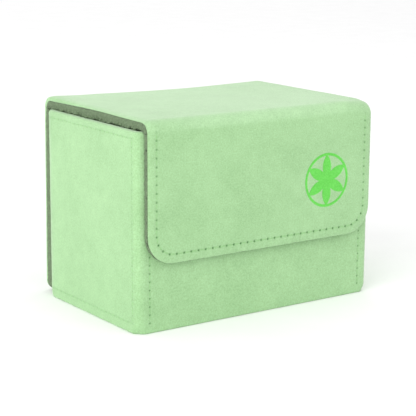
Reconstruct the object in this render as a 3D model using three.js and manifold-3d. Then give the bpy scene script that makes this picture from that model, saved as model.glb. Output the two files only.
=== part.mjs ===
// Card deck box: a rigid lined tray wrapped in imitation leather, with a one-piece wrap cover. The cover is
// a back leaf fixed to the tray's rear wall, a lid that swings up about the rear fold, and a front flap
// that swings out about the front fold and closes on hidden magnets.
//
// Millimetres. +X is to the right, -Y is the front where the flap closes, +Z is up. The origin is the centre
// of the base.

import * as THREE from 'three';
import { mergeVertices } from 'three/addons/utils/BufferGeometryUtils.js';
import Module from 'manifold-3d';

// ---------------------------------------------------------------------------------------------------------
// Driving dimensions
// ---------------------------------------------------------------------------------------------------------

// Overall size, over the closed cover
const COVER_WIDTH = 100;
const DEPTH = 73;
const HEIGHT = 75.6;
const BODY_WIDTH = 105.8;

// Layers
const LEATHER = 0.8;
const COVER_LINING = 2;
const COVER_BOARD = 1.2;
const WALL_BOARD = 2;
const WALL_LINING = 0.5;
const GLUE = 0.05;

// Clearances of the moving cover
const LID_GAP = 1;
const FLAP_GAP = 0.25;

// Shapes
const FRONT_CORNER = 3.2;
const REAR_CORNER = 6.5;
const RIM_EDGE = 0.8;
const RIM_EDGE_STEPS = 3;
const FOLD_RADIUS = 4.5;
const FLAP_LENGTH = 50.6;
const FLAP_CORNER = 10.5;
const LEAF_CORNER = 4.5;
const LEAF_BOTTOM = 0.3;
const LEAF_PADDING = 1.1;
const BOARD_INSET = 5.5;
const BOARD_CORNER = 3;

// Seams: how far each lies inside its panel's edge, and the thread in its groove
const COVER_SEAM = 3.3;
const FRONT_SEAM_SIDE = 5.3;
const SIDE_SEAM_EDGE = 3.2;
const SEAM_ABOVE_BASE = 3.7;
const SEAM_BELOW_RIM = 2.35;
const FRONT_SEAM_BOTTOM = 3.8;
const THREAD_WIDTH = 0.5;
const THREAD_DEPTH = 0.3;
const GROOVE_WIDTH = 0.7;
const GROOVE_DEPTH = 0.4;

// Magnets: one pair in the flap meets one pair in the front wall
const MAGNET_RADIUS = 5;
const MAGNET_SPREAD = 32;
const MAGNET_HEIGHT = 36.5;
const WALL_MAGNET = 1.5;
const FLAP_MAGNET = 1.1;
const MAGNET_PLAY = 0.15;

// Pressed rosette on the flap
const ROSETTE_X = 28.6;
const ROSETTE_Z = 47.2;
const ROSETTE_RADIUS = 10.2;
const ROSETTE_RING = 1;
const ROSETTE_HUB = 1.5;
const ROSETTE_PETALS = 6;
const ROSETTE_DEPTH = 0.2;
const PETAL_ARC = THREE.MathUtils.degToRad(45);

// How finely round outlines are divided
const CORNER_STEPS = 6;
const FOLD_STEPS = 8;
const DISC_STEPS = 24;
const OVERCUT = 1;

// ---------------------------------------------------------------------------------------------------------
// Derived places
// ---------------------------------------------------------------------------------------------------------

const COVER = LEATHER + GLUE + COVER_LINING;
const FRONT_WALL_Y = -DEPTH / 2 + COVER + FLAP_GAP;
const REAR_WALL_Y = DEPTH / 2 - COVER - LEAF_PADDING - GLUE;
const BODY_DEPTH = REAR_WALL_Y - FRONT_WALL_Y;
const BODY_MID_Y = (FRONT_WALL_Y + REAR_WALL_Y) / 2;
const RIM_Z = HEIGHT - COVER - LID_GAP;

const SKIN = LEATHER + GLUE;
const WALL = SKIN + WALL_BOARD;
const FLOOR_BOARD_Z = SKIN;
const FLOOR_TOP = SKIN + WALL_BOARD + GLUE;
const BOARD_TOP = RIM_Z - SKIN;

const LID_HALF = DEPTH / 2 - FOLD_RADIUS - GLUE;
const PANEL_TOP = HEIGHT - FOLD_RADIUS - GLUE;
const FLAP_BOTTOM = HEIGHT - FLAP_LENGTH;

// ---------------------------------------------------------------------------------------------------------
// Materials
// ---------------------------------------------------------------------------------------------------------

const material = (color, roughness, metalness) => new THREE.MeshStandardMaterial({
  color,
  roughness,
  metalness,
});
const leather = () => material('#b4dda9', 0.8, 0);
const lining = () => material('#6d786a', 0.95, 0);
const greyboard = () => material('#9a948a', 0.9, 0);
const thread = () => material('#86c578', 0.6, 0);
const steel = () => material('#b8bbbe', 0.35, 1);

// ---------------------------------------------------------------------------------------------------------
// Joining and cutting
// ---------------------------------------------------------------------------------------------------------

const wasm = await Module();
wasm.setup();

// A closed geometry as a solid, with the vertices that its faces share merged into one.
function toSolid(geometry) {
  const shell = geometry.clone();
  shell.deleteAttribute('normal');
  shell.deleteAttribute('uv');
  const merged = mergeVertices(shell);
  const vertProperties = merged.attributes.position.array;
  const triVerts = new Uint32Array(merged.index.array);
  return new wasm.Manifold(new wasm.Mesh({ numProp: 3, vertProperties, triVerts }));
}

function toGeometry(solid) {
  const { vertProperties, triVerts } = solid.getMesh();
  const geometry = new THREE.BufferGeometry();
  geometry.setAttribute('position', new THREE.BufferAttribute(vertProperties, 3));
  geometry.setIndex(new THREE.BufferAttribute(triVerts, 1));
  geometry.computeVertexNormals();
  return geometry;
}

const cut = (geometry, ...tools) => toGeometry(
  tools.reduce((solid, tool) => solid.subtract(toSolid(tool)), toSolid(geometry)),
);

const join = (geometry, ...others) => toGeometry(
  others.reduce((solid, other) => solid.add(toSolid(other)), toSolid(geometry)),
);

const common = (geometry, ...others) => toGeometry(
  others.reduce((solid, other) => solid.intersect(toSolid(other)), toSolid(geometry)),
);

// ---------------------------------------------------------------------------------------------------------
// Outlines
// ---------------------------------------------------------------------------------------------------------

function rectangle(width, height) {
  const shape = new THREE.Shape();
  shape.moveTo(-width / 2, -height / 2);
  shape.lineTo(width / 2, -height / 2);
  shape.lineTo(width / 2, height / 2);
  shape.lineTo(-width / 2, height / 2);
  shape.closePath();
  return shape;
}

// Its near corners, towards -Y, may have another radius than its far ones.
function roundedRectangle(width, height, near, far = near) {
  const x = width / 2;
  const y = height / 2;
  const shape = new THREE.Shape();
  shape.absarc(x - near, near - y, near, -Math.PI / 2, 0, false);
  shape.absarc(x - far, y - far, far, 0, Math.PI / 2, false);
  shape.absarc(far - x, y - far, far, Math.PI / 2, Math.PI, false);
  shape.absarc(near - x, near - y, near, Math.PI, 1.5 * Math.PI, false);
  shape.closePath();
  return shape;
}

// A panel outline with a straight top edge and two rounded lower corners.
function tongue(halfWidth, bottom, top, radius) {
  const x = halfWidth - radius;
  const shape = new THREE.Shape();
  shape.moveTo(halfWidth, top);
  shape.lineTo(-halfWidth, top);
  shape.absarc(-x, bottom + radius, radius, Math.PI, 1.5 * Math.PI, false);
  shape.absarc(x, bottom + radius, radius, 1.5 * Math.PI, 2 * Math.PI, false);
  shape.closePath();
  return shape;
}

// ---------------------------------------------------------------------------------------------------------
// Solids from outlines
// ---------------------------------------------------------------------------------------------------------

// An outline thickened along +Z from the height given.
function slab(shape, from, to, steps = CORNER_STEPS) {
  const depth = to - from;
  const geometry = new THREE.ExtrudeGeometry(shape, { depth, bevelEnabled: false, curveSegments: steps });
  return geometry.translate(0, 0, from);
}

// The band of a seam along a tongue's edge: its sides and bottom, open at the top.
function tongueBand(halfWidth, bottom, top, radius, width, from, to) {
  const half = width / 2;
  const outer = tongue(halfWidth + half, bottom - half, top, radius + half);
  const inner = tongue(halfWidth - half, bottom + half, top + OVERCUT, radius - half);
  return cut(slab(outer, from, to), slab(inner, from - OVERCUT, to + OVERCUT));
}

// An outline drawn in (y, z), thickened along +X.
const ALONG_X = new THREE.Matrix4().makeBasis(
  new THREE.Vector3(0, 1, 0),
  new THREE.Vector3(0, 0, 1),
  new THREE.Vector3(1, 0, 0),
);
const slabAlongX = (shape, from, to, steps) => slab(shape, from, to, steps).applyMatrix4(ALONG_X);

// A quarter bend between two panels at right angles, centred on the inside of the bend and running along X.
function bend(outerRadius, thickness) {
  const shape = new THREE.Shape();
  shape.absarc(0, 0, outerRadius, Math.PI / 2, Math.PI, false);
  shape.absarc(0, 0, outerRadius - thickness, Math.PI, Math.PI / 2, true);
  shape.closePath();
  return slabAlongX(shape, -COVER_WIDTH / 2, COVER_WIDTH / 2, FOLD_STEPS);
}

// ---------------------------------------------------------------------------------------------------------
// Meshes and groups
// ---------------------------------------------------------------------------------------------------------

function piece(name, geometry, finish) {
  const mesh = new THREE.Mesh(geometry, finish);
  mesh.name = name;
  return mesh;
}

function group(...children) {
  const result = new THREE.Group();
  result.add(...children);
  return result;
}

// Stands pieces that were drawn in (x, z) upright, with their thickness running outward from y to -Y.
function upright(y, ...children) {
  const result = group(...children);
  result.rotation.x = Math.PI / 2;
  result.position.y = y;
  return result;
}

// ---------------------------------------------------------------------------------------------------------
// Tray
// ---------------------------------------------------------------------------------------------------------

// The tray's outline, moved in from the outer skin by an inset.
const trayOutline = (inset) => roundedRectangle(
  BODY_WIDTH - 2 * inset,
  BODY_DEPTH - 2 * inset,
  FRONT_CORNER - inset,
  REAR_CORNER - inset,
);

const trayBlock = (inset, from, to) => slab(trayOutline(inset), from, to);

// The layer of the tray's walls between two insets from the outer skin.
const trayLayer = (outer, inner) => cut(
  trayBlock(outer, 0, RIM_Z),
  trayBlock(inner, -OVERCUT, RIM_Z + OVERCUT),
);

const trayMouth = (inset, from, to) => slab(
  rectangle(BODY_WIDTH - 2 * inset, BODY_DEPTH - 2 * inset),
  from,
  to,
);

// The front panel's seam: up both sides and across the top. It is a prism through the front wall.
function frontSeam(width) {
  const half = width / 2;
  const x = BODY_WIDTH / 2 - FRONT_SEAM_SIDE;
  const top = RIM_Z - SEAM_BELOW_RIM;
  const y = -BODY_DEPTH / 2;
  const leg = (side) => new THREE.BoxGeometry(width, 2 * OVERCUT, top + half - FRONT_SEAM_BOTTOM)
    .translate(side * x, y, (top + half + FRONT_SEAM_BOTTOM) / 2);
  const bar = new THREE.BoxGeometry(2 * x + width, 2 * OVERCUT, width).translate(0, y, top);
  return join(bar, leg(-1), leg(1));
}

// A side panel's seam: a rectangle. It is a prism through the left (-1) or right (1) wall, deep enough to
// reach the skin where it turns into the rear corners.
function sideSeam(side, width) {
  const bottom = SEAM_ABOVE_BASE;
  const top = RIM_Z - SEAM_BELOW_RIM;
  const depth = BODY_DEPTH - 2 * SIDE_SEAM_EDGE;
  const middle = (bottom + top) / 2;
  const outer = slabAlongX(rectangle(depth + width, top - bottom + width), -2 * OVERCUT, 2 * OVERCUT);
  const inner = slabAlongX(rectangle(depth - width, top - bottom - width), -3 * OVERCUT, 3 * OVERCUT);
  return cut(outer, inner).translate(side * BODY_WIDTH / 2, 0, middle);
}

const seamThread = (seam) => common(
  trayLayer(GROOVE_DEPTH - THREAD_DEPTH - GLUE, GROOVE_DEPTH - GLUE),
  seam,
);
const seamGroove = (seam) => common(trayLayer(-OVERCUT, GROOVE_DEPTH), seam);

function bodySkin() {
  const bevel = {
    depth: RIM_Z,
    bevelEnabled: true,
    bevelThickness: RIM_EDGE,
    bevelSize: RIM_EDGE,
    bevelOffset: -RIM_EDGE,
    bevelSegments: RIM_EDGE_STEPS,
    curveSegments: CORNER_STEPS,
  };
  const block = new THREE.ExtrudeGeometry(trayOutline(0), bevel).translate(0, 0, -RIM_EDGE);
  const grooves = [frontSeam(GROOVE_WIDTH), sideSeam(-1, GROOVE_WIDTH), sideSeam(1, GROOVE_WIDTH)];
  return cut(
    common(block, trayBlock(-OVERCUT, SKIN, HEIGHT)),
    trayBlock(SKIN, 0, BOARD_TOP + GLUE),
    trayMouth(WALL, 0, HEIGHT),
    ...grooves.map(seamGroove),
  );
}

// The walls' boards stand on the floor board. The front and rear ones run the full width, and the
// outline's round corners are shaved off the outsides of all four.
const wallSpace = (width, depth, x, y) => common(
  trayBlock(SKIN, FLOOR_TOP, BOARD_TOP),
  new THREE.BoxGeometry(width, depth, 2 * HEIGHT).translate(x, y, 0),
);

const endBoard = (side) => wallSpace(
  BODY_WIDTH,
  WALL_BOARD,
  0,
  side * (BODY_DEPTH / 2 - SKIN - WALL_BOARD / 2),
);

const sideBoard = (side) => wallSpace(
  WALL_BOARD,
  BODY_DEPTH - 2 * WALL - 2 * GLUE,
  side * (BODY_WIDTH / 2 - SKIN - WALL_BOARD / 2),
  0,
);

function magnet(thickness, x, y, play = 0) {
  const radius = MAGNET_RADIUS + play;
  return new THREE.CylinderGeometry(radius, radius, thickness, DISC_STEPS).translate(x, y, MAGNET_HEIGHT);
}

const FRONT_BOARD_FACE = -BODY_DEPTH / 2 + SKIN;
const wallMagnet = (side) => magnet(WALL_MAGNET, side * MAGNET_SPREAD, FRONT_BOARD_FACE + WALL_MAGNET / 2);

function magnetPocket(side) {
  const depth = OVERCUT + WALL_MAGNET + GLUE;
  return magnet(depth, side * MAGNET_SPREAD, FRONT_BOARD_FACE - OVERCUT + depth / 2, MAGNET_PLAY);
}

const frontBoard = () => cut(endBoard(-1), magnetPocket(-1), magnetPocket(1));

function wallLining() {
  const outer = WALL + GLUE;
  const bottom = FLOOR_TOP + WALL_LINING + GLUE;
  return cut(trayMouth(outer, bottom, RIM_Z), trayMouth(outer + WALL_LINING, 0, HEIGHT));
}

const tray = group(
  piece('base_skin', trayBlock(0, 0, LEATHER), leather()),
  piece('floor_board', trayBlock(SKIN, FLOOR_BOARD_Z, FLOOR_BOARD_Z + WALL_BOARD), greyboard()),
  piece('floor_lining', trayMouth(WALL + GLUE, FLOOR_TOP, FLOOR_TOP + WALL_LINING), lining()),
  piece('front_board', frontBoard(), greyboard()),
  piece('rear_board', endBoard(1), greyboard()),
  piece('left_board', sideBoard(-1), greyboard()),
  piece('right_board', sideBoard(1), greyboard()),
  piece('wall_lining', wallLining(), lining()),
  piece('body_skin', bodySkin(), leather()),
  piece('front_magnet_left', wallMagnet(-1), steel()),
  piece('front_magnet_right', wallMagnet(1), steel()),
  piece('front_stitching', seamThread(frontSeam(THREAD_WIDTH)), thread()),
  piece('left_side_stitching', seamThread(sideSeam(-1, THREAD_WIDTH)), thread()),
  piece('right_side_stitching', seamThread(sideSeam(1, THREAD_WIDTH)), thread()),
);
tray.position.y = BODY_MID_Y;

// ---------------------------------------------------------------------------------------------------------
// Cover panels. Each is drawn flat: lining below, leather on top, and the board in a pocket of the lining.
// ---------------------------------------------------------------------------------------------------------

const LINING_TOP = COVER_LINING;
const BOARD_FROM = COVER_LINING - COVER_BOARD;
const SKIN_FROM = COVER_LINING + GLUE;

const boardPocket = (outline) => slab(outline, BOARD_FROM - GLUE, COVER + OVERCUT);
const boardPlate = (outline) => slab(outline, BOARD_FROM, LINING_TOP);
const GROOVE_FROM = COVER - GROOVE_DEPTH;
const THREAD_FROM = GROOVE_FROM + GLUE;

// The flap and the back leaf are both tongues with a seam along their free edges. Padding makes the
// lining thicker towards the tray.
function tonguePanel(bottom, corner, padding) {
  const half = COVER_WIDTH / 2;
  const outline = tongue(half, bottom, PANEL_TOP, corner);
  const boardOutline = (play) => tongue(
    half - BOARD_INSET + play,
    bottom + BOARD_INSET - play,
    PANEL_TOP - BOARD_INSET + play,
    BOARD_CORNER,
  );
  const seam = (width, from, to) => tongueBand(
    half - COVER_SEAM,
    bottom + COVER_SEAM,
    PANEL_TOP,
    corner - COVER_SEAM,
    width,
    from,
    to,
  );
  return {
    skin: cut(slab(outline, SKIN_FROM, COVER), seam(GROOVE_WIDTH, GROOVE_FROM, COVER + OVERCUT)),
    lining: cut(slab(outline, -padding, LINING_TOP), boardPocket(boardOutline(MAGNET_PLAY))),
    board: boardPlate(boardOutline(0)),
    stitching: seam(THREAD_WIDTH, THREAD_FROM, THREAD_FROM + THREAD_DEPTH),
  };
}

const panelPieces = (name, panel) => [
  piece(`${name}_skin`, panel.skin, leather()),
  piece(`${name}_board`, panel.board, greyboard()),
  piece(`${name}_lining`, panel.lining, lining()),
  piece(`${name}_stitching`, panel.stitching, thread()),
];

// A bend of leather and lining between two panels, placed at the front of the cover.
function fold(name) {
  const result = group(
    piece(`${name}_skin`, bend(FOLD_RADIUS, LEATHER), leather()),
    piece(`${name}_lining`, bend(FOLD_RADIUS - LEATHER - GLUE, COVER_LINING), lining()),
  );
  result.position.set(0, -DEPTH / 2 + FOLD_RADIUS, HEIGHT - FOLD_RADIUS);
  return result;
}

// The same things facing the rear.
function turnedToRear(...children) {
  const result = group(...children);
  result.rotation.z = Math.PI;
  return result;
}

const PANEL_Y = -DEPTH / 2 + COVER;

// ---------------------------------------------------------------------------------------------------------
// Back leaf and rear fold
// ---------------------------------------------------------------------------------------------------------

const leaf = tonguePanel(LEAF_BOTTOM, LEAF_CORNER, LEAF_PADDING);
const backLeaf = turnedToRear(upright(PANEL_Y, ...panelPieces('back_leaf', leaf)));
const rearFold = turnedToRear(fold('rear_fold'));

// ---------------------------------------------------------------------------------------------------------
// Lid
// ---------------------------------------------------------------------------------------------------------

function lidSeam(side, width, length, from, to) {
  const x = side * (COVER_WIDTH / 2 - COVER_SEAM);
  return slab(rectangle(width, length), from, to).translate(x, 0, 0);
}

const lidGroove = (side) => lidSeam(side, GROOVE_WIDTH, DEPTH, GROOVE_FROM, COVER + OVERCUT);
const lidThread = (side) => lidSeam(
  side,
  THREAD_WIDTH,
  2 * LID_HALF,
  THREAD_FROM,
  THREAD_FROM + THREAD_DEPTH,
);
const lidOutline = rectangle(COVER_WIDTH, 2 * LID_HALF);
const lidBoardOutline = (play) => roundedRectangle(
  COVER_WIDTH - 2 * BOARD_INSET + 2 * play,
  2 * LID_HALF - BOARD_INSET + 2 * play,
  BOARD_CORNER,
);

const lidSkin = cut(slab(lidOutline, SKIN_FROM, COVER), lidGroove(-1), lidGroove(1));
const lidLining = cut(slab(lidOutline, 0, LINING_TOP), boardPocket(lidBoardOutline(MAGNET_PLAY)));

const lid = group(
  piece('lid_skin', lidSkin, leather()),
  piece('lid_board', boardPlate(lidBoardOutline(0)), greyboard()),
  piece('lid_lining', lidLining, lining()),
  piece('lid_stitching_left', lidThread(-1), thread()),
  piece('lid_stitching_right', lidThread(1), thread()),
);
lid.position.z = HEIGHT - COVER;

const frontFold = fold('front_fold');

// ---------------------------------------------------------------------------------------------------------
// Front flap
// ---------------------------------------------------------------------------------------------------------

// A petal is the overlap of two equal circles, standing on the rosette's centre. Half its arc's angle
// gives the circles' radius and how far their centres lie to either side.
function petal(index) {
  const length = ROSETTE_RADIUS - ROSETTE_RING / 2;
  const radius = length / 2 / Math.sin(PETAL_ARC);
  const reach = radius * Math.cos(PETAL_ARC);
  const shape = new THREE.Shape();
  shape.absarc(-reach, length / 2, radius, -PETAL_ARC, PETAL_ARC, false);
  shape.absarc(reach, length / 2, radius, Math.PI - PETAL_ARC, Math.PI + PETAL_ARC, false);
  shape.closePath();
  const turn = (index * 2 * Math.PI) / ROSETTE_PETALS;
  return slab(shape, COVER - ROSETTE_DEPTH, COVER + OVERCUT).rotateZ(turn);
}

function rosette() {
  const ring = new THREE.Shape();
  ring.absarc(0, 0, ROSETTE_RADIUS, 0, 2 * Math.PI, false);
  const hole = new THREE.Path();
  hole.absarc(0, 0, ROSETTE_RADIUS - ROSETTE_RING, 0, 2 * Math.PI, true);
  ring.holes.push(hole);
  const hub = new THREE.Shape();
  hub.absarc(0, 0, ROSETTE_HUB, 0, 2 * Math.PI, false);
  const press = (shape) => slab(shape, COVER - ROSETTE_DEPTH, COVER + OVERCUT, DISC_STEPS);
  const petals = Array.from({ length: ROSETTE_PETALS }, (_, index) => petal(index));
  return join(press(ring), press(hub), ...petals).translate(ROSETTE_X, ROSETTE_Z, 0);
}

// In the upright panel's own axes a magnet lies flat, so it is turned to face along +Z.
function flapMagnet(side, thickness, play) {
  const radius = MAGNET_RADIUS + play;
  return new THREE.CylinderGeometry(radius, radius, thickness, DISC_STEPS)
    .rotateX(Math.PI / 2)
    .translate(side * MAGNET_SPREAD, MAGNET_HEIGHT, BOARD_FROM + FLAP_MAGNET / 2);
}

const plainFlap = tonguePanel(FLAP_BOTTOM, FLAP_CORNER, 0);
const flapHoles = [-1, 1].map((side) => flapMagnet(side, 2 * COVER, MAGNET_PLAY));
const flapPanel = {
  ...plainFlap,
  skin: cut(plainFlap.skin, rosette()),
  board: cut(plainFlap.board, ...flapHoles),
};
const flap = upright(
  PANEL_Y,
  ...panelPieces('flap', flapPanel),
  piece('flap_magnet_left', flapMagnet(-1, FLAP_MAGNET, 0), steel()),
  piece('flap_magnet_right', flapMagnet(1, FLAP_MAGNET, 0), steel()),
);

// ---------------------------------------------------------------------------------------------------------
// The whole box
// ---------------------------------------------------------------------------------------------------------

export default group(tray, backLeaf, rearFold, lid, frontFold, flap);
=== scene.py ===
"""The looks of the card deck box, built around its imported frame.

Metres in Blender, +X to the right, -Y the front where the flap closes, +Z up. Flat patterns are drawn in
millimetres and laid onto the box by short placing functions, so a pattern's (x, s) point and its height
above the leather's face become one point in space.
"""

import math

import bmesh
import bpy
import numpy as np
from mathutils import Matrix, Vector, noise
from mathutils.geometry import delaunay_2d_cdt


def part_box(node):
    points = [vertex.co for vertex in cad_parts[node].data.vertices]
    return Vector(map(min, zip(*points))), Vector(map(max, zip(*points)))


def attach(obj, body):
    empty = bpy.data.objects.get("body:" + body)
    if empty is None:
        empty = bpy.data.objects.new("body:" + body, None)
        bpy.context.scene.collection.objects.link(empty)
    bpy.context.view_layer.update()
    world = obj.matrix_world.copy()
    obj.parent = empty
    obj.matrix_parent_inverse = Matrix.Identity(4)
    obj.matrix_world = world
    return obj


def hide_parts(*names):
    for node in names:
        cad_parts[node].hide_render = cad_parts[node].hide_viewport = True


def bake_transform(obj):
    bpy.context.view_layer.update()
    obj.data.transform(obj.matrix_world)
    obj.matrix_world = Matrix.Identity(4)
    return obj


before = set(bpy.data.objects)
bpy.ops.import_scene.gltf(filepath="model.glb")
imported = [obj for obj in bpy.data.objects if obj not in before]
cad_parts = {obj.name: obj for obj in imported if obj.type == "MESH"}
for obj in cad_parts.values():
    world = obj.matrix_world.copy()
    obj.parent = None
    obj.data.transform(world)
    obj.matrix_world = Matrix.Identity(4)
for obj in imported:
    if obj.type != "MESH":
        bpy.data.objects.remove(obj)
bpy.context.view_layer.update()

MM = 0.001

# --------------------------------------------------------------------
# Sizes, in millimetres, from the frame
# --------------------------------------------------------------------


def edges(*nodes):
    """Lowest and highest corners of some nodes together, in millimetres."""
    boxes = [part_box(node) for node in nodes]
    low = np.min([np.array(low) for low, _ in boxes], axis=0) / MM
    high = np.max([np.array(high) for _, high in boxes], axis=0) / MM
    return low, high


leaf_low, leaf_high = edges("back_leaf_skin")
flap_low, flap_high = edges("flap_skin")
_, lid_high = edges("lid_skin")
fold_low, fold_high = edges("rear_fold_skin")
body_low, body_high = edges("body_skin", "base_skin")
_, tub_high = edges("wall_lining")
floor_low, floor_high = edges("floor_lining")
under_low, under_high = edges("flap_lining")
leaf_felt_low, leaf_felt_high = edges("back_leaf_lining")

COVER_HALF = flap_high[0]
REAR_FACE = leaf_high[1]
COVER_TOP = lid_high[2]
FOLD_RADIUS = fold_high[1] - fold_low[1]
FOLD_Z = COVER_TOP - FOLD_RADIUS
LEAF_BOTTOM = leaf_low[2]
FLAP_BOTTOM = flap_low[2]
LEATHER = flap_high[1] - flap_low[1]
GLUE = under_low[1] - flap_high[1]
LINING = under_high[1] - under_low[1]
LEAF_LINING = leaf_felt_high[1] - leaf_felt_low[1]
BODY_HALF_X = body_high[0]
BODY_HALF_Y = (body_high[1] - body_low[1]) / 2
BODY_MID_Y = (body_high[1] + body_low[1]) / 2
RIM_Z = body_high[2]
TUB_INSET = BODY_HALF_X - tub_high[0]
TUB_FLOOR = floor_high[2]
TUB_BASE = floor_low[2]

# Shapes that the frame's boxes don't give
FLAP_CORNER = 10.5
LEAF_CORNER = 3.8
FRONT_CORNER = 3.2
REAR_CORNER = 6.5
COVER_SEAM = 3.3
FRONT_SEAM_SIDE = 5.3
SIDE_SEAM_EDGE = 3.2
SEAM_ABOVE_BASE = 3.7
SEAM_BELOW_RIM = 2.35
FRONT_SEAM_BOTTOM = 3.8
ROSETTE_X = 28.6
ROSETTE_Z = 47.2
ROSETTE_RADIUS = 10.2
ROSETTE_RING = 1
ROSETTE_HUB = 1.5
ROSETTE_PETALS = 6
PETAL_ARC = math.radians(45)

STITCH_PITCH = 3.05
ARC = FOLD_RADIUS * math.pi / 2

# --------------------------------------------------------------------
# Camera, light and floor
# --------------------------------------------------------------------

CAMERA_PLACE = (-305.54, -435.35, 150.54)
CAMERA_YAW = 35.093
CAMERA_PITCH = 12.432
CAMERA_ROLL = 0.350
CAMERA_LENS = 123.0
SENSOR = 36


def add_camera():
    yaw, pitch, roll = (math.radians(a) for a in (CAMERA_YAW, CAMERA_PITCH, CAMERA_ROLL))
    data = bpy.data.cameras.new("camera")
    data.lens = CAMERA_LENS
    data.sensor_width = SENSOR
    camera = bpy.data.objects.new("camera", data)
    bpy.context.scene.collection.objects.link(camera)
    place = Matrix.Translation(Vector(CAMERA_PLACE) * MM)
    aim = Matrix.Rotation(-yaw, 4, "Z") @ Matrix.Rotation(math.pi / 2 - pitch, 4, "X")
    camera.matrix_world = place @ aim @ Matrix.Rotation(roll, 4, "Z")
    bpy.context.scene.camera = camera


def add_area_light(name, place, size, power):
    data = bpy.data.lights.new(name, "AREA")
    data.size = size
    data.energy = power
    lamp = bpy.data.objects.new(name, data)
    lamp.location = place
    lamp.rotation_mode = "QUATERNION"
    lamp.rotation_quaternion = (Vector((0, 0, 0.035)) - Vector(place)).to_track_quat("-Z", "Y")
    bpy.context.scene.collection.objects.link(lamp)


def add_studio():
    world = bpy.data.worlds.new("studio")
    world.use_nodes = True
    world.node_tree.nodes["Background"].inputs["Color"].default_value = (1, 1, 1, 1)
    world.node_tree.nodes["Background"].inputs["Strength"].default_value = 0.82
    bpy.context.scene.world = world
    bpy.context.scene.view_settings.view_transform = "Standard"
    add_area_light("key", (-1.4, -0.55, 0.7), 1.2, 14)
    add_area_light("top", (-0.2, 0.0, 1.6), 1.4, 2.2)
    add_area_light("front", (0.3, -1.15, 1.2), 1.2, 3.5)
    add_area_light("back", (1.6, 3.2, 1.2), 2.0, 14)
    mesh = bpy.data.meshes.new("floor")
    reach = 6
    corners = [(-reach, -reach, 0), (reach, -reach, 0), (reach, reach, 0), (-reach, reach, 0)]
    mesh.from_pydata(corners, [], [(0, 1, 2, 3)])
    floor = bpy.data.objects.new("floor", mesh)
    bpy.context.scene.collection.objects.link(floor)
    floor.data.materials.append(floor_material())


# --------------------------------------------------------------------
# Materials
# --------------------------------------------------------------------


class Nodes:
    """A material's node tree, with short ways to add and link nodes."""

    def __init__(self, name):
        self.material = bpy.data.materials.new(name)
        self.material.use_nodes = True
        self.tree = self.material.node_tree
        self.shader = self.tree.nodes["Principled BSDF"]

    def add(self, kind, settings=(), **inputs):
        node = self.tree.nodes.new(kind)
        for key, value in dict(settings).items():
            setattr(node, key, value)
        for key, value in inputs.items():
            self.set(node, key.replace("_", " "), value)
        return node

    def set(self, node, key, value):
        socket = node.inputs[key]
        if isinstance(value, bpy.types.NodeSocket):
            self.tree.links.new(value, socket)
        else:
            socket.default_value = value

    def shade(self, **inputs):
        for key, value in inputs.items():
            self.set(self.shader, key.replace("_", " "), value)
        return self.material

    def rest(self):
        """The point's place at rest, in millimetres, which stays with the surface in every pose."""
        return self.add("ShaderNodeAttribute", {"attribute_name": "rest"}).outputs["Vector"]

    def mark(self, name):
        return self.add("ShaderNodeAttribute", {"attribute_name": name}).outputs["Fac"]

    def noise(self, vector, scale, detail=2.0, roughness=0.5):
        node = self.add("ShaderNodeTexNoise", Scale=scale, Detail=detail, Roughness=roughness)
        self.set(node, "Vector", vector)
        return node.outputs["Fac"]

    def blend(self, share, a, b, mode="MIX"):
        node = self.add("ShaderNodeMix", {"data_type": "RGBA", "blend_type": mode})
        for index, value in ((0, share), (6, a), (7, b)):
            socket = node.inputs[index]
            if isinstance(value, bpy.types.NodeSocket):
                self.tree.links.new(value, socket)
            else:
                socket.default_value = value
        return node.outputs[2]

    def span(self, value, low, high, to_low=0.0, to_high=1.0):
        """Stretches a value from one range to another, held at its ends."""
        node = self.add("ShaderNodeMapRange")
        for index, number in enumerate((value, low, high, to_low, to_high)):
            if isinstance(number, bpy.types.NodeSocket):
                self.tree.links.new(number, node.inputs[index])
            else:
                node.inputs[index].default_value = number
        return node.outputs[0]

    def sum(self, a, b, share):
        """a plus b times share."""
        node = self.add("ShaderNodeMath", {"operation": "MULTIPLY_ADD"})
        for index, value in enumerate((b, share, a)):
            if isinstance(value, bpy.types.NodeSocket):
                self.tree.links.new(value, node.inputs[index])
            else:
                node.inputs[index].default_value = value
        return node.outputs[0]

    def bump(self, height, depth, strength=1.0):
        node = self.add("ShaderNodeBump", Strength=strength, Distance=depth * MM, Height=height)
        return node.outputs["Normal"]


def linear(red, green, blue):
    """A display colour, 0 to 255, as Blender's linear colour."""
    share = [c / 255 for c in (red, green, blue)]
    return (*[c / 12.92 if c <= 0.04045 else ((c + 0.055) / 1.055) ** 2.4 for c in share], 1)


def floor_material():
    nodes = Nodes("floor_paper")
    place = nodes.add("ShaderNodeTexCoord").outputs["Object"]
    grain = nodes.span(nodes.noise(place, 40, 3), 0.3, 0.7)
    colour = nodes.blend(grain, linear(252, 252, 252), linear(255, 255, 255))
    return nodes.shade(Base_Color=colour, Roughness=0.9)


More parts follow.
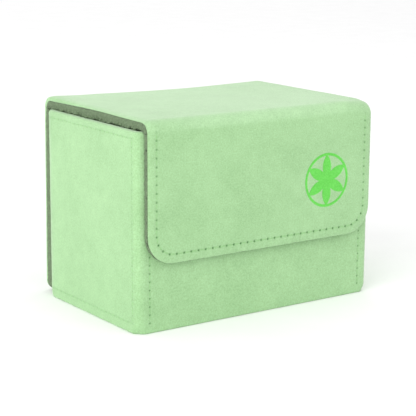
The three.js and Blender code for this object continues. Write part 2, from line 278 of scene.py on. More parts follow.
def suede(name, light, dark):
    """Microfibre imitation leather: a short nap, mottled where it lies different ways."""
    nodes = Nodes(name)
    rest = nodes.rest()
    nap = nodes.noise(rest, 1.7, 3, 0.7)
    brushed = nodes.noise(rest, 0.28, 3, 0.6)
    drift = nodes.noise(rest, 0.06, 2)
    tone = nodes.sum(nodes.sum(nodes.sum(0.0, nap, 0.62), brushed, 0.18), drift, 0.2)
    colour = nodes.blend(nodes.span(tone, 0.36, 0.64), dark, light)
    printed = nodes.blend(nodes.span(tone, 0.36, 0.64), linear(92, 196, 70), linear(112, 216, 92))
    colour = nodes.blend(nodes.mark("print"), colour, printed)
    # Painted highlight: a little white added over the folds, for the sheen that the curved leather catches
    # there
    colour = nodes.blend(nodes.mark("fold_sheen"), colour, (0.055, 0.055, 0.055, 1), "ADD")
    # Painted shade: the needle holes and the seams' grooves are darkened, for the shade that falls in them
    colour = nodes.blend(nodes.mark("hole"), colour, linear(20, 98, 5))
    fibre = nodes.sum(nodes.noise(rest, 5.5, 3, 0.7), nap, 0.8)
    rough = nodes.span(nap, 0.3, 0.7, 0.82, 0.95)
    return nodes.shade(
        Base_Color=colour,
        Roughness=rough,
        Normal=nodes.bump(fibre, 0.10, 0.5),
        Specular_IOR_Level=0.15,
        Sheen_Weight=0.53,
        Sheen_Roughness=0.45,
        Sheen_Tint=(0.95, 1.0, 0.93, 1),
    )


def felt(name):
    """The dark lining: a dense felt with a brushed, fuzzy face."""
    nodes = Nodes(name)
    rest = nodes.rest()
    tuft = nodes.noise(rest, 2.6, 4, 0.75)
    patch = nodes.noise(rest, 0.5, 2)
    tone = nodes.sum(nodes.sum(0.0, tuft, 0.85), patch, 0.15)
    colour = nodes.blend(nodes.span(tone, 0.34, 0.66), linear(58, 75, 50), linear(140, 164, 126))
    fibre = nodes.sum(nodes.noise(rest, 7, 3, 0.7), tuft, 1.2)
    return nodes.shade(
        Base_Color=colour,
        Roughness=nodes.span(tuft, 0.3, 0.7, 0.9, 1.0),
        Normal=nodes.bump(fibre, 0.22, 0.8),
        Specular_IOR_Level=0.1,
        Sheen_Weight=0.12,
        Sheen_Roughness=0.6,
    )


# Turns of the wave texture for one millimetre along the thread and for one time round it: three plies
PLY_SLANT = (0.63, 0.942, 0)


def thread():
    """Three-ply polyester thread."""
    nodes = Nodes("thread")
    along = nodes.add("ShaderNodeUVMap", {"uv_map": "along"}).outputs["UV"]
    turned = nodes.add("ShaderNodeVectorMath", {"operation": "DOT_PRODUCT"})
    nodes.tree.links.new(along, turned.inputs[0])
    turned.inputs[1].default_value = PLY_SLANT
    wave = nodes.add("ShaderNodeTexWave", {"bands_direction": "X"}, Scale=1.0)
    nodes.set(wave, "Vector", turned.outputs["Value"])
    ply = wave.outputs["Fac"]
    colour = nodes.blend(ply, linear(132, 184, 116), linear(158, 208, 144))
    return nodes.shade(
        Base_Color=colour,
        Roughness=nodes.span(ply, 0, 1, 0.65, 0.5),
        Normal=nodes.bump(ply, 0.08, 0.6),
        Sheen_Weight=0.2,
    )


def greyboard():
    nodes = Nodes("greyboard")
    place = nodes.add("ShaderNodeTexCoord").outputs["Object"]
    pulp = nodes.noise(place, 900, 4, 0.7)
    fleck = nodes.span(nodes.noise(place, 2600, 2), 0.62, 0.7)
    colour = nodes.blend(nodes.span(pulp, 0.3, 0.7), linear(146, 140, 130), linear(170, 164, 154))
    colour = nodes.blend(fleck, colour, linear(110, 104, 98))
    rough = nodes.span(pulp, 0.3, 0.7, 0.85, 0.95)
    return nodes.shade(Base_Color=colour, Roughness=rough, Normal=nodes.bump(pulp, 0.05))


def nickel():
    nodes = Nodes("nickel_plate")
    place = nodes.add("ShaderNodeTexCoord").outputs["Object"]
    haze = nodes.noise(place, 1500, 3)
    colour = nodes.blend(haze, linear(190, 190, 186), linear(214, 214, 208))
    return nodes.shade(Base_Color=colour, Metallic=1.0, Roughness=nodes.span(haze, 0.3, 0.7, 0.25, 0.4))


# --------------------------------------------------------------------
# Flat patterns: outlines, distances and points
# --------------------------------------------------------------------


def soft_step(value, low, high):
    t = np.clip((value - low) / (high - low), 0, 1)
    return t * t * (3 - 2 * t)


def ripple(points, wavelength):
    """Smooth noise from -1 to 1 at places in millimetres."""
    return np.array([noise.noise(Vector(p) / wavelength) for p in points])


def lattice(x0, x1, s0, s1, step):
    """Evenly spaced points in staggered rows."""
    rows = np.arange(s0, s1, step * math.sqrt(3) / 2)
    points = []
    for index, s in enumerate(rows):
        xs = np.arange(x0 + (index % 2) * step / 2, x1, step)
        points.append(np.stack([xs, np.full(len(xs), s)], axis=1))
    return np.concatenate(points)


def resample(path, pitch):
    """Points evenly spaced along a polyline, ends included, as near to the pitch as fits."""
    path = np.array(path, float)
    run = np.concatenate([[0], np.cumsum(np.linalg.norm(np.diff(path, axis=0), axis=1))])
    count = max(1, round(run[-1] / pitch))
    at = np.linspace(0, run[-1], count + 1)
    return np.stack([np.interp(at, run, path[:, k]) for k in range(path.shape[1])], axis=1)


def arc_points(centre, radius, start, end, count):
    angles = np.linspace(start, end, count + 1)
    return [(centre[0] + radius * math.cos(a), centre[1] + radius * math.sin(a)) for a in angles]


def tongue_path(half, bottom, top, radius, count=24):
    """A panel's free edge: down its left side, across its bottom and up its right side."""
    x, s = half - radius, bottom + radius
    left = arc_points((-x, s), radius, math.pi, 1.5 * math.pi, count)
    right = arc_points((x, s), radius, 1.5 * math.pi, 2 * math.pi, count)
    return [(-half, top), *left, *right, (half, top)]


def tongue_depth(points, half, bottom, top, radius):
    """How far each point lies inside a panel's outline, negative outside it."""
    side = half - np.abs(points[:, 0])
    low = points[:, 1] - bottom
    plain = np.minimum(side, low)
    corner = radius - np.hypot(radius - side, radius - low)
    inside = np.where((side < radius) & (low < radius), corner, plain)
    return np.minimum(inside, top - points[:, 1])


def nearest(points, marks):
    """Distance from each point to the nearest mark."""
    if not len(marks):
        return np.full(len(points), np.inf)
    best = np.full(len(points), np.inf)
    for start in range(0, len(points), 4096):
        part = points[start:start + 4096]
        away = np.linalg.norm(part[:, None, :] - marks[None, :, :], axis=2)
        best[start:start + 4096] = away.min(axis=1)
    return best


HOLE_RINGS = (0.14, 0.28, 0.45, 0.7)


def hole_points(holes):
    """Fine points round each needle hole, so that its dent is round."""
    points = [holes]
    for ring, radius in enumerate(HOLE_RINGS):
        for k in range(8):
            angle = (k + ring / 2) * math.pi / 4
            points.append(holes + radius * np.array([math.cos(angle), math.sin(angle)]))
    return np.concatenate(points)


SEAM_ROWS = (-0.6, -0.28, 0, 0.28, 0.6)
ROW_CLEAR = 0.55
HOLE_CLEAR = 0.85


def with_seam(points, rows, holes):
    """Finer points in rows along a seam, and round each of its needle holes."""
    line = np.concatenate(rows)
    points = np.concatenate([points[nearest(points, line) > ROW_CLEAR], line])
    return np.concatenate([points[nearest(points, holes) > HOLE_CLEAR], hole_points(holes)])


def triangulate(loop, inside):
    """Triangles over a closed outline and the points inside it, numbered in that order."""
    points = [Vector(p) for p in loop] + [Vector(p) for p in inside]
    ring = [(i, (i + 1) % len(loop)) for i in range(len(loop))]
    _, _, faces, origin, _, _ = delaunay_2d_cdt(points, ring, [], 1, 1e-6)
    return [tuple(origin[v][0] for v in face) for face in faces]


# --------------------------------------------------------------------
# Meshes
# --------------------------------------------------------------------


def add_mesh(name, places, faces, material, marks=(), sharp=None, corners=None):
    """A closed mesh object from places in millimetres. marks are named values, one for each place.

    corners are texture coordinates, one for each corner of each face in turn.
    """
    mesh = bpy.data.meshes.new(name)
    mesh.from_pydata((np.array(places) * MM).tolist(), [], [tuple(int(v) for v in f) for f in faces])
    rest = mesh.attributes.new("rest", "FLOAT_VECTOR", "POINT")
    rest.data.foreach_set("vector", np.array(places, np.float32).ravel())
    for mark, values in dict(marks).items():
        mesh.attributes.new(mark, "FLOAT", "POINT").data.foreach_set("value", np.array(values, np.float32))
    if corners:
        layer = mesh.uv_layers.new(name="along")
        layer.data.foreach_set("uv", np.array(corners, np.float32).ravel())
    tidy_mesh(mesh)
    mesh.shade_smooth()
    if sharp:
        mesh.set_sharp_from_angle(angle=math.radians(sharp))
    mesh.materials.append(material)
    piece = bpy.data.objects.new(name, mesh)
    bpy.context.scene.collection.objects.link(piece)
    return piece


def tidy_mesh(mesh):
    """Welds doubled points, drops loose ones and turns every face outward."""
    work = bmesh.new()
    work.from_mesh(mesh)
    bmesh.ops.remove_doubles(work, verts=work.verts, dist=1e-6)
    bmesh.ops.delete(work, geom=[v for v in work.verts if not v.link_faces], context="VERTS")
    bmesh.ops.recalc_face_normals(work, faces=work.faces)
    work.to_mesh(mesh)
    work.free()


def bridge(first, second, count, closed=True):
    """Quads between two rings of the same count of vertices."""
    last = count if closed else count - 1
    return [(first + i, first + (i + 1) % count, second + (i + 1) % count, second + i) for i in range(last)]


def sheet(place, rings, top, top_height, bottom, bottom_height):
    """A solid sheet: a top face, an edge of several rings and a bottom face.

    rings are (outline, share) from the top edge, where the share is 1, to the bottom edge, where it is 0.
    The heights are functions of flat points. Returns places, faces and flat points.
    """
    count = len(rings[0][0])
    flat = np.concatenate([*[outline for outline, _ in rings], top, bottom])
    height = [share * top_height(line) + (1 - share) * bottom_height(line) for line, share in rings]
    height += [top_height(top), bottom_height(bottom)]
    faces = []
    for index in range(len(rings) - 1):
        faces += bridge(index * count, (index + 1) * count, count)
    first_top = len(rings) * count
    first_bottom = first_top + len(top)
    top_ids = np.concatenate([np.arange(count), np.arange(first_top, first_bottom)])
    low_ids = np.concatenate([np.arange(first_top - count, first_top), np.arange(first_bottom, len(flat))])
    faces += [tuple(top_ids[list(f)]) for f in triangulate(rings[0][0], top)]
    faces += [tuple(low_ids[list(f)][::-1]) for f in triangulate(rings[-1][0], bottom)]
    return place(flat, np.concatenate(height)), faces, flat


def level(points):
    """No relief."""
    return np.zeros(len(points))


# --------------------------------------------------------------------
# The cover: each half's pattern runs up a panel, round its fold and along the lid's top
# --------------------------------------------------------------------

SPLIT = 1.5
LID_REACH = REAR_FACE - FOLD_RADIUS
LEAF_LEAN = 1.0
FOLD_ROW = 0.5

# An edge from its face to its back: how far in from the outline, and how much of the thickness is left
LEATHER_EDGE = ((0.30, 1), (0.12, 0.93), (0.02, 0.75), (0, 0.5), (0.05, 0.17), (0.2, 0))


def length_of(path):
    return float(np.linalg.norm(np.diff(np.array(path, float), axis=0), axis=1).sum())


LID_DIP = 0.65
LEFT_PUFF = 0.6
EDGE_PUFF = 0.3
CORNER_DROOP = 1.2


def settle(x, y, z):
    """How far the soft cover lies below its plain shape: a dip, a raised left rear, a low right front."""
    dip = LID_DIP * (1 - (x / COVER_HALF) ** 2)
    puff = LEFT_PUFF * soft_step(-x, -20, 40) + EDGE_PUFF * soft_step(-x, 36, COVER_HALF)
    rear = soft_step(y, -REAR_FACE, REAR_FACE) * soft_step(z, FOLD_Z - 6, FOLD_Z + 3)
    droop = soft_step(x, COVER_HALF - 12, COVER_HALF) * soft_step(-y, REAR_FACE - 10, REAR_FACE)
    return (dip - puff) * rear + CORNER_DROOP * droop * soft_step(z, FOLD_Z - 12, FOLD_Z)


LEAF_HEM = 0.5
TOP_HEM = 0.7


def hem(x, y, z):
    """How much thicker the leather is where its edge is turned in at the rear left, most of all on top."""
    left = soft_step(-x, COVER_HALF - 9, COVER_HALF)
    rear = soft_step(y, -10, REAR_FACE)
    return left * rear * (LEAF_HEM + TOP_HEM * soft_step(z, FOLD_Z - 5, FOLD_Z + 3))


class Panel:
    """A pattern whose s runs up a panel's outer face from its free edge, round its fold and onto the lid."""

    def __init__(self, facing, bottom, reach, corner, flare, roll):
        self.facing = facing
        self.corner = corner
        self.flare = flare
        self.roll = roll
        self.straight = FOLD_Z - bottom
        self.bent = self.straight + ARC
        self.top = self.bent + reach

    def plain(self, flat, height):
        x, s = flat[:, 0], flat[:, 1]
        angle = np.clip((s - self.straight) / FOLD_RADIUS, 0, math.pi / 2)
        radius = FOLD_RADIUS + height
        past = np.maximum(s - self.bent, 0)
        y = REAR_FACE - FOLD_RADIUS + radius * np.cos(angle) - past + self.lean(s)
        z = FOLD_Z + radius * np.sin(angle) + np.minimum(s - self.straight, 0)
        return x, self.facing * y, z

    def place(self, flat, height):
        x, y, z = self.plain(flat, height)
        return np.stack([x, y, z - settle(x, y, z)], axis=1)

    def lean(self, s):
        """How far the panel's free end stands off from the box."""
        return self.flare * np.clip(1 - s / self.straight, 0, 1)

    def sunk(self, flat):
        return settle(*self.plain(flat, level(flat)))

    def back(self, flat):
        """The height of the leather's back."""
        return -LEATHER - hem(*self.plain(flat, level(flat)))

    def outline(self, inset, spacing):
        """The pattern's edge at an inset from its free sides, with as many points at every inset."""
        half = COVER_HALF - inset
        path = tongue_path(half, inset, self.top, self.corner - inset)
        count = round((2 * self.top + 2 * COVER_HALF) / spacing)
        free = resample(path, length_of(path) / count)
        across = resample([(half, self.top), (-half, self.top)], 2 * half / round(2 * COVER_HALF / spacing))
        return np.concatenate([free, across[1:-1]])

    def depth(self, points):
        return tongue_depth(points, COVER_HALF, 0, 1e9, self.corner)

    def inside(self, step, margin):
        """Points inside the pattern, with closer rows where it bends."""
        points = lattice(-COVER_HALF, COVER_HALF, 0, self.top, step)
        low, high = self.straight - 4, self.bent + 5
        flat = points[(points[:, 1] < low) | (points[:, 1] > high)]
        bend = lattice(-COVER_HALF, COVER_HALF, 0, (high - low) * step / FOLD_ROW, step)
        bend[:, 1] = low + bend[:, 1] * FOLD_ROW / step
        points = np.concatenate([flat, bend])
        keep = (self.depth(points) > margin) & (points[:, 1] < self.top - min(margin, FOLD_ROW))
        return points[keep]

    def seam(self, offset=0, pitch=STITCH_PITCH):
        """Points along the seam: up one side from the lid, across the free end and back."""
        inset = COVER_SEAM + offset
        path = tongue_path(COVER_HALF - inset, inset, self.top - STITCH_PITCH / 2, self.corner - inset)
        return resample(path, pitch)

    def pull(self, points):
        """How tight the seam is: tightest along the free end, less over the fold, and least on the lid."""
        up = points[:, 1]
        tight = 1 - 0.35 * soft_step(up, COVER_SEAM + 1, self.corner + 4)
        return tight * (1 - 0.85 * soft_step(up, self.straight - 3, self.straight + 3))

    def fold_sheen(self, points):
        """How much painted highlight lies over the fold, standing in for the sheen that the curved leather
        catches there.
        """
        up = points[:, 1]
        on_fold = soft_step(up, self.straight - 0.8, self.straight + 2.2)
        ends = 1 - 0.5 * soft_step(np.abs(points[:, 0]), COVER_HALF - 22, COVER_HALF - 6)
        return on_fold * ends * (1 - soft_step(up, self.bent - 1.5, self.bent + 1))


leaf = Panel(1, LEAF_BOTTOM, 2 * LID_REACH - SPLIT, LEAF_CORNER, LEAF_LEAN, 0.25)
flap = Panel(-1, FLAP_BOTTOM, SPLIT, FLAP_CORNER, 0, 0.55)


def petal_depth(points, index):
    """How far each point lies inside a petal, the overlap of two equal circles."""
    length = ROSETTE_RADIUS - ROSETTE_RING / 2
    turn = index * 2 * math.pi / ROSETTE_PETALS
    along = np.array([-math.sin(turn), math.cos(turn)])
    across = np.array([math.cos(turn), math.sin(turn)])
    u, v = points @ across, points @ along - length / 2
    radius = length / 2 / math.sin(PETAL_ARC)
    reach = radius * math.cos(PETAL_ARC)
    return radius - np.maximum(np.hypot(u - reach, v), np.hypot(u + reach, v))


def rosette_depth(points):
    """How far each point lies inside the rosette's pressed shapes, negative outside them."""
    away = points - (ROSETTE_X, ROSETTE_Z - FLAP_BOTTOM)
    radius = np.hypot(away[:, 0], away[:, 1])
    ring = ROSETTE_RING / 2 - np.abs(radius - ROSETTE_RADIUS + ROSETTE_RING / 2)
    depth = np.maximum(ring, ROSETTE_HUB - radius)
    for index in range(ROSETTE_PETALS):
        depth = np.maximum(depth, petal_depth(away, index))
    return depth


ROSETTE_SLOPE = 0.13
ROSETTE_SPACING = 0.27


def rosette_press(points):
    """How deeply the rosette is pressed at each point, from 0 to 1, with a sloped outline."""
    return soft_step(rosette_depth(points), -ROSETTE_SLOPE, ROSETTE_SLOPE)


def with_rosette(points):
    """Finer points over the rosette, drawn onto its outlines where they lie near them."""
    centre = np.array([ROSETTE_X, ROSETTE_Z - FLAP_BOTTOM])
    reach = ROSETTE_RADIUS + 1
    low, high = centre - reach, centre + reach
    fine = lattice(low[0], high[0], low[1], high[1], ROSETTE_SPACING)
    fine = fine[np.linalg.norm(fine - centre, axis=1) < reach]
    step = 0.02
    slope = np.stack([
        rosette_depth(fine + (step, 0)) - rosette_depth(fine - (step, 0)),
        rosette_depth(fine + (0, step)) - rosette_depth(fine - (0, step)),
    ], axis=1) / (2 * step)
    depth = rosette_depth(fine)
    wanted = np.where(depth > 0, ROSETTE_SLOPE, -ROSETTE_SLOPE)
    move = np.where(np.abs(depth) < 0.24, wanted - depth, 0)
    fine = fine + slope * move[:, None]
    outside = np.linalg.norm(points - centre, axis=1) > reach + 0.5
    return np.concatenate([points[outside], fine])


def dots(points, runs, width):
    """How strongly needle holes mark each point. runs are pairs of holes and their strength."""
    marks = [strength * np.exp(-(nearest(points, holes) / width) ** 2) for holes, strength in runs]
    return np.max(marks, axis=0)


def cover_relief(panel, pressed):
    """The height of the leather's face: rolled edge, the seam's groove, needle holes and soft unevenness."""
    holes = panel.seam()

    def relief(points):
        depth = panel.depth(points)
        pull = panel.pull(points)
        roll = np.interp(points[:, 1], (panel.straight - 5, panel.bent), (panel.roll, 0.55))
        height = -roll * np.clip(1 - depth / COVER_SEAM, 0, 1) ** 2
        height -= 0.13 * pull * np.exp(-((depth - COVER_SEAM) / 0.55) ** 2)
        height -= 0.34 * pull ** 2 * dots(points, [(holes, 1)], 0.24)
        height -= 0.10 * np.exp(-((points[:, 1] - panel.straight + 1.5) / 1.2) ** 2)
        place = panel.place(points, level(points))
        height += 0.07 * ripple(place, 13) + 0.02 * ripple(place, 3.5)
        if pressed:
            height -= 0.22 * rosette_press(points)
        return height

    return relief


def cover_marks(panel, flat, pressed):
    depth = panel.depth(flat)
    # Painted shade along the seam's groove and in its needle holes
    line = 0.16 * np.exp(-((depth - COVER_SEAM) / 0.25) ** 2)
    hole = panel.pull(flat) * np.maximum(dots(flat, [(panel.seam(), 1)], 0.4), line)
    return {"hole": hole, "print": rosette_press(flat) if pressed else level(flat), "fold_sheen": panel.fold_sheen(flat)}


def cover_leather(name, panel, pressed=False):
    rows = [panel.seam(offset, 0.6) for offset in SEAM_ROWS]
    points = with_seam(panel.inside(1.3, 0.6), rows, panel.seam())
    if pressed:
        points = with_rosette(points)
    rings = [(panel.outline(inset, 0.7), share) for inset, share in LEATHER_EDGE]
    back = panel.inside(2.6, 1.2)
    relief = cover_relief(panel, pressed)
    places, faces, flat = sheet(panel.place, rings, points, relief, back, panel.back)
    marks = cover_marks(panel, flat, pressed)
    for values in marks.values():
        values[-len(back):] = 0
    return add_mesh(name, places, faces, leather_finish, marks, sharp=70)


# The felt's edge, also with how ragged it is: outward, and towards the leather
FELT_EDGE = (
    (0.45, 1, 0, 0),
    (0.06, 0.99, 0, 0),
    (-0.05, 1, 0, 1.1),
    (-0.06, 0.85, 0.1, 0.5),
    (-0.03, 0.6, 0.2, 0),
    (0.02, 0.35, 0.3, 0),
    (0.08, 0.15, 0.5, 0.1),
    (0.2, 0.03, 0.9, 0),
    (0.6, 0, 0.3, 0),
    (1.2, 0, 0, 0),
)
# How ragged each felt is: outward, then towards the leather, first below the fold and then on the lid
LEAF_FRAY = (1, 0.32, 0.8)
FLAP_FRAY = (0.3, 1.2, 1.2)
LIP = 0.2
FLAP_FELT = 2.2
RIM_PLAY = 0.2
FELT_SPACING = 0.3
WEB = 0.75
BOARD_PLAY = 0.1
TUFT = 0.05
EDGE_TUFT = 0.35


def felt_top(panel, boards):
    """The height of the felt's hidden face, sunk where a board lies in it."""

    def height(points):
        places = panel.place(points, level(points))
        result = panel.back(points) - GLUE
        for low, high, axis in boards:
            inside = np.full(len(places), True)
            for k in (0, axis):
                inside &= (places[:, k] > low[k] - BOARD_PLAY) & (places[:, k] < high[k] + BOARD_PLAY)
            inside &= places[:, 2] > FOLD_Z if axis == 1 else places[:, 2] < FOLD_Z
            result[inside] -= LINING - WEB
        return result

    return height


def felt_back(panel, thick):
    """The height of the felt's open face. On the lid its tufted edges rest on the tray's rim."""

    def height(points):
        place = panel.place(points, level(points))
        onto_lid = soft_step(points[:, 1], panel.straight - 2, panel.straight + 2)
        edge = 1 - soft_step(panel.depth(points), 1, 4)
        rim = COVER_TOP - LEATHER - GLUE - RIM_Z - RIM_PLAY - panel.sunk(points)
        over_lid = LINING + (rim - LINING) * edge
        full = thick + panel.lean(points[:, 1]) + onto_lid * (over_lid - thick)
        tuft = TUFT * (ripple(place, 0.9) + ripple(place, 6))
        tuft += onto_lid * edge * EDGE_TUFT * (ripple(place, 1.3) + ripple(place, 0.6))
        return tuft - LEATHER - GLUE - full

    return height


def cover_felt(name, panel, boards, thick, fray):
    """One half of the cover's felt, ragged along its edge and thin over its boards."""
    outward_share, low_lift, lid_lift = fray
    rings = []
    for inset, share, ragged, lifted in FELT_EDGE:
        line = panel.outline(inset, FELT_SPACING)
        outward = panel.outline(inset - 0.5, FELT_SPACING) - line
        place = panel.place(line, level(line) - thick * (1 - share))
        wild = 0.8 * ripple(place, 0.55) + 0.6 * ripple(place, 1.0)
        resting = soft_step(line[:, 1], panel.straight - 2, panel.straight + 2)
        spread = ragged * wild + (0.4 + wild) * resting * (0 < share < 0.2)
        away = soft_step(panel.top - line[:, 1], 0.2, 2)
        line = line + outward * 2 * (spread * away * outward_share)[:, None]
        lift = np.minimum(lifted * wild * away * (low_lift + (lid_lift - low_lift) * resting), LIP)
        rings.append((line, share + lift / thick))
    top, back = panel.inside(1.6, 1.2), panel.inside(1.6, 1.7)
    places, faces, _ = sheet(panel.place, rings, top, felt_top(panel, boards), back, felt_back(panel, thick))
    return add_mesh(name, places, faces, lining_finish)


SEAM_SINK = -0.2
THREAD_RADIUS = 0.21
THREAD_SIDES = 8
# Along one stitch: how much of the way from hole to hole, and how high over the sunk seam
THREAD_SHARE = np.array([0.03, 0.1, 0.22, 0.5, 0.78, 0.9, 0.97])
THREAD_RISE = np.array([-0.5, -0.24, -0.06, 0, -0.06, -0.24, -0.5])


def sunk(place):
    """The same placing function, with the threads' height lowered into the seam."""
    return lambda flat, height: place(flat, height + SEAM_SINK)


def thread_faces(base):
    """One stitch's faces, and for each of their corners the length along the thread and the share round it."""
    faces = []
    corners = []
    for ring in range(len(THREAD_SHARE) - 1):
        start = base + ring * THREAD_SIDES
        faces += bridge(start, start + THREAD_SIDES, THREAD_SIDES)
        near, far = STITCH_PITCH * THREAD_SHARE[ring : ring + 2]
        for k in range(THREAD_SIDES):
            this, after = k / THREAD_SIDES, (k + 1) / THREAD_SIDES
            corners += [(near, this), (near, after), (far, after), (far, this)]
    for end in (base, base + (len(THREAD_SHARE) - 1) * THREAD_SIDES):
        faces.append(tuple(range(end, end + THREAD_SIDES)))
        corners += [(0, 0)] * THREAD_SIDES
    return faces, corners


def stitches(name, place, runs):
    """Short threads from hole to hole along each run of needle holes, dipping in at both ends."""
    starts = np.concatenate([run[:-1] for run in runs])
    steps = np.concatenate([run[1:] for run in runs]) - starts
    rings = len(THREAD_SHARE)
    flat = (starts[:, None] + THREAD_SHARE[None, :, None] * steps[:, None]).reshape(-1, 2)
    height = np.tile(THREAD_RISE, len(starts))
    middle = place(flat, height)
    along = np.repeat(unit(steps), rings, axis=0)
    across = np.stack([-along[:, 1], along[:, 0]], axis=1)
    side = unit(place(flat + 0.05 * across, height) - middle)
    tangent = unit(np.gradient(middle.reshape(-1, rings, 3), axis=1).reshape(-1, 3))
    up = unit(np.cross(side, tangent))
    angles = np.arange(THREAD_SIDES) * 2 * math.pi / THREAD_SIDES
    outward = np.cos(angles)[None, :, None] * side[:, None] + np.sin(angles)[None, :, None] * up[:, None]
    places = (middle[:, None] + THREAD_RADIUS * outward).reshape(-1, 3)
    faces = []
    corners = []
    for base in range(0, len(places), rings * THREAD_SIDES):
        more_faces, more_corners = thread_faces(base)
        faces += more_faces
        corners += more_corners
    return add_mesh(name, places, faces, thread_finish, corners=corners)


def unit(vectors):
    return vectors / np.linalg.norm(vectors, axis=1)[:, None]


# --------------------------------------------------------------------
# The tray: its pattern's p runs round the outside from the middle of the rear, and t runs up the wall
# --------------------------------------------------------------------

FRONT_X, FRONT_Y = BODY_HALF_X - FRONT_CORNER, BODY_HALF_Y - FRONT_CORNER
REAR_X, REAR_Y = BODY_HALF_X - REAR_CORNER, BODY_HALF_Y - REAR_CORNER
FRONT_TURN, REAR_TURN = FRONT_CORNER * math.pi / 2, REAR_CORNER * math.pi / 2
SIDE = FRONT_Y + REAR_Y
# Where straights and corners meet, from the middle of the rear, and the centre that each corner turns about
RUNS = [REAR_X, REAR_TURN, SIDE, FRONT_TURN, 2 * FRONT_X, FRONT_TURN, SIDE, REAR_TURN, REAR_X]
TURNS = np.cumsum([0, *RUNS])
TURN_X = np.array([0, -REAR_X, -REAR_X, -FRONT_X, -FRONT_X, FRONT_X, FRONT_X, REAR_X, REAR_X, 0])
TURN_Y = np.array([REAR_Y] * 3 + [-FRONT_Y] * 4 + [REAR_Y] * 3)
TURN_RADIUS = np.where(TURN_Y > 0, REAR_CORNER, FRONT_CORNER)
TURN_ANGLE = math.pi / 2 * np.array([1, 1, 2, 2, 3, 3, 4, 4, 5, 5])
ROUND = TURNS[-1]
LEFT_MIDDLE = TURNS[2] + REAR_Y
RIGHT_MIDDLE = TURNS[6] + FRONT_Y
FRONT_MIDDLE = TURNS[4] + FRONT_X

FOOT = 0.04
FOOT_ROUND = 0.6
RIM_ROUND = 1.0
LIP_ROUND = 0.4
LIP_INSET = TUB_INSET - GLUE
LEAST_CORNER = 0.4


def around(p, inset):
    """The place on the tray's outline, moved in by an inset. Corners stay round however far that is."""
    angle = np.interp(p, TURNS, TURN_ANGLE)
    radius = np.maximum(np.interp(p, TURNS, TURN_RADIUS) - inset, LEAST_CORNER)
    inward = radius + inset - np.interp(p, TURNS, TURN_RADIUS)
    x = np.interp(p, TURNS, TURN_X) - inward * np.interp(p, TURNS, np.sign(TURN_X)) + radius * np.cos(angle)
    y = np.interp(p, TURNS, TURN_Y) - inward * np.interp(p, TURNS, np.sign(TURN_Y)) + radius * np.sin(angle)
    return x, y + BODY_MID_Y


class Profile:
    """The skin's section: in under the foot, up the wall, over the rim and down its inner lip."""

    def __init__(self):
        foot, rim = FOOT + FOOT_ROUND, RIM_Z - RIM_ROUND
        quarter = math.pi / 2
        knots = [
            (foot - FOOT_ROUND * quarter - 1.8, 3.0, foot, FOOT_ROUND, -1),
            (foot - FOOT_ROUND * quarter, FOOT_ROUND, foot, FOOT_ROUND, -1),
            (foot, FOOT_ROUND, foot, FOOT_ROUND, 0),
            (rim, RIM_ROUND, rim, RIM_ROUND, 0),
            (rim + RIM_ROUND * quarter, RIM_ROUND, rim, RIM_ROUND, 1),
        ]
        lip = LIP_INSET - LIP_ROUND
        t = knots[-1][0] + lip - RIM_ROUND
        knots.append((t, lip, RIM_Z - LIP_ROUND, LIP_ROUND, 1))
        knots.append((t + LIP_ROUND * quarter, lip, RIM_Z - LIP_ROUND, LIP_ROUND, 2))
        knots.append((t + LIP_ROUND * quarter + 0.35, lip, RIM_Z - LIP_ROUND - 0.35, LIP_ROUND, 2))
        self.t, self.inset, self.z, self.radius, self.turn = (np.array(k, float) for k in zip(*knots))

    def place(self, flat, height):
        p, t = flat[:, 0], flat[:, 1]
        angle = np.interp(t, self.t, self.turn) * math.pi / 2
        radius = np.interp(t, self.t, self.radius) + height
        x, y = around(p, np.interp(t, self.t, self.inset) - radius * np.cos(angle) + self.tuck(p, t))
        return np.stack([x, y, np.interp(t, self.t, self.z) + radius * np.sin(angle)], axis=1)

    def tuck(self, p, t):
        """How far the skin is drawn in where it is folded under the tray's corners."""
        corner = np.abs(np.sin(2 * np.interp(p, TURNS, TURN_ANGLE)))
        front = np.interp(p, TURNS, TURN_Y < 0)
        above = np.clip(1 - (t - self.t[2]) / 2.4, 0, 1) ** 2
        return (0.3 + 0.8 * front) * corner * above * soft_step(t, self.t[0], self.t[1])


profile = Profile()


def tray_seams():
    """Needle holes: two lines up the front and a loop on each side."""
    top = RIM_Z - SEAM_BELOW_RIM
    x = BODY_HALF_X - FRONT_SEAM_SIDE
    reach = BODY_HALF_Y - SIDE_SEAM_EDGE
    front = []
    for at in (FRONT_MIDDLE - x, FRONT_MIDDLE + x):
        front.append(resample([(at, FRONT_SEAM_BOTTOM), (at, top)], STITCH_PITCH))
    loops = []
    for middle in (LEFT_MIDDLE, RIGHT_MIDDLE):
        corners = [(-1, 0), (1, 0), (1, 1), (-1, 1), (-1, 0)]
        corners = [(middle + u * reach, (top if v else SEAM_ABOVE_BASE)) for u, v in corners]
        runs = [resample(corners[k:k + 2], STITCH_PITCH) for k in range(4)]
        loops.append(runs)
    return front, loops


def across(run, offset):
    """A straight run of points moved sideways."""
    way = (run[-1] - run[0]) / np.linalg.norm(run[-1] - run[0])
    return run + offset * np.array([-way[1], way[0]])


# The skin's thickness at each knot of the profile: it thins where it is tucked in
SKIN_THICKNESS = (0.68, 0.68, 0.7, 0.75, 0.75, 0.6, 0.3, 0.3)
SKIN_SPACING = 1.3
SKIN_BACK_SPACING = 3
FOOT_ROWS = 14
RIM_ROWS = 16
ROW_OVERLAP = 0.6
SEAM_POINTS = 0.6
FRONT_SEAM_PULL = 0.7
SIDE_SEAM_PULL = 0.3


def row(ps, t):
    """Flat points side by side at one height up the wall."""
    return np.stack([ps, np.full(len(ps), t)], axis=1)


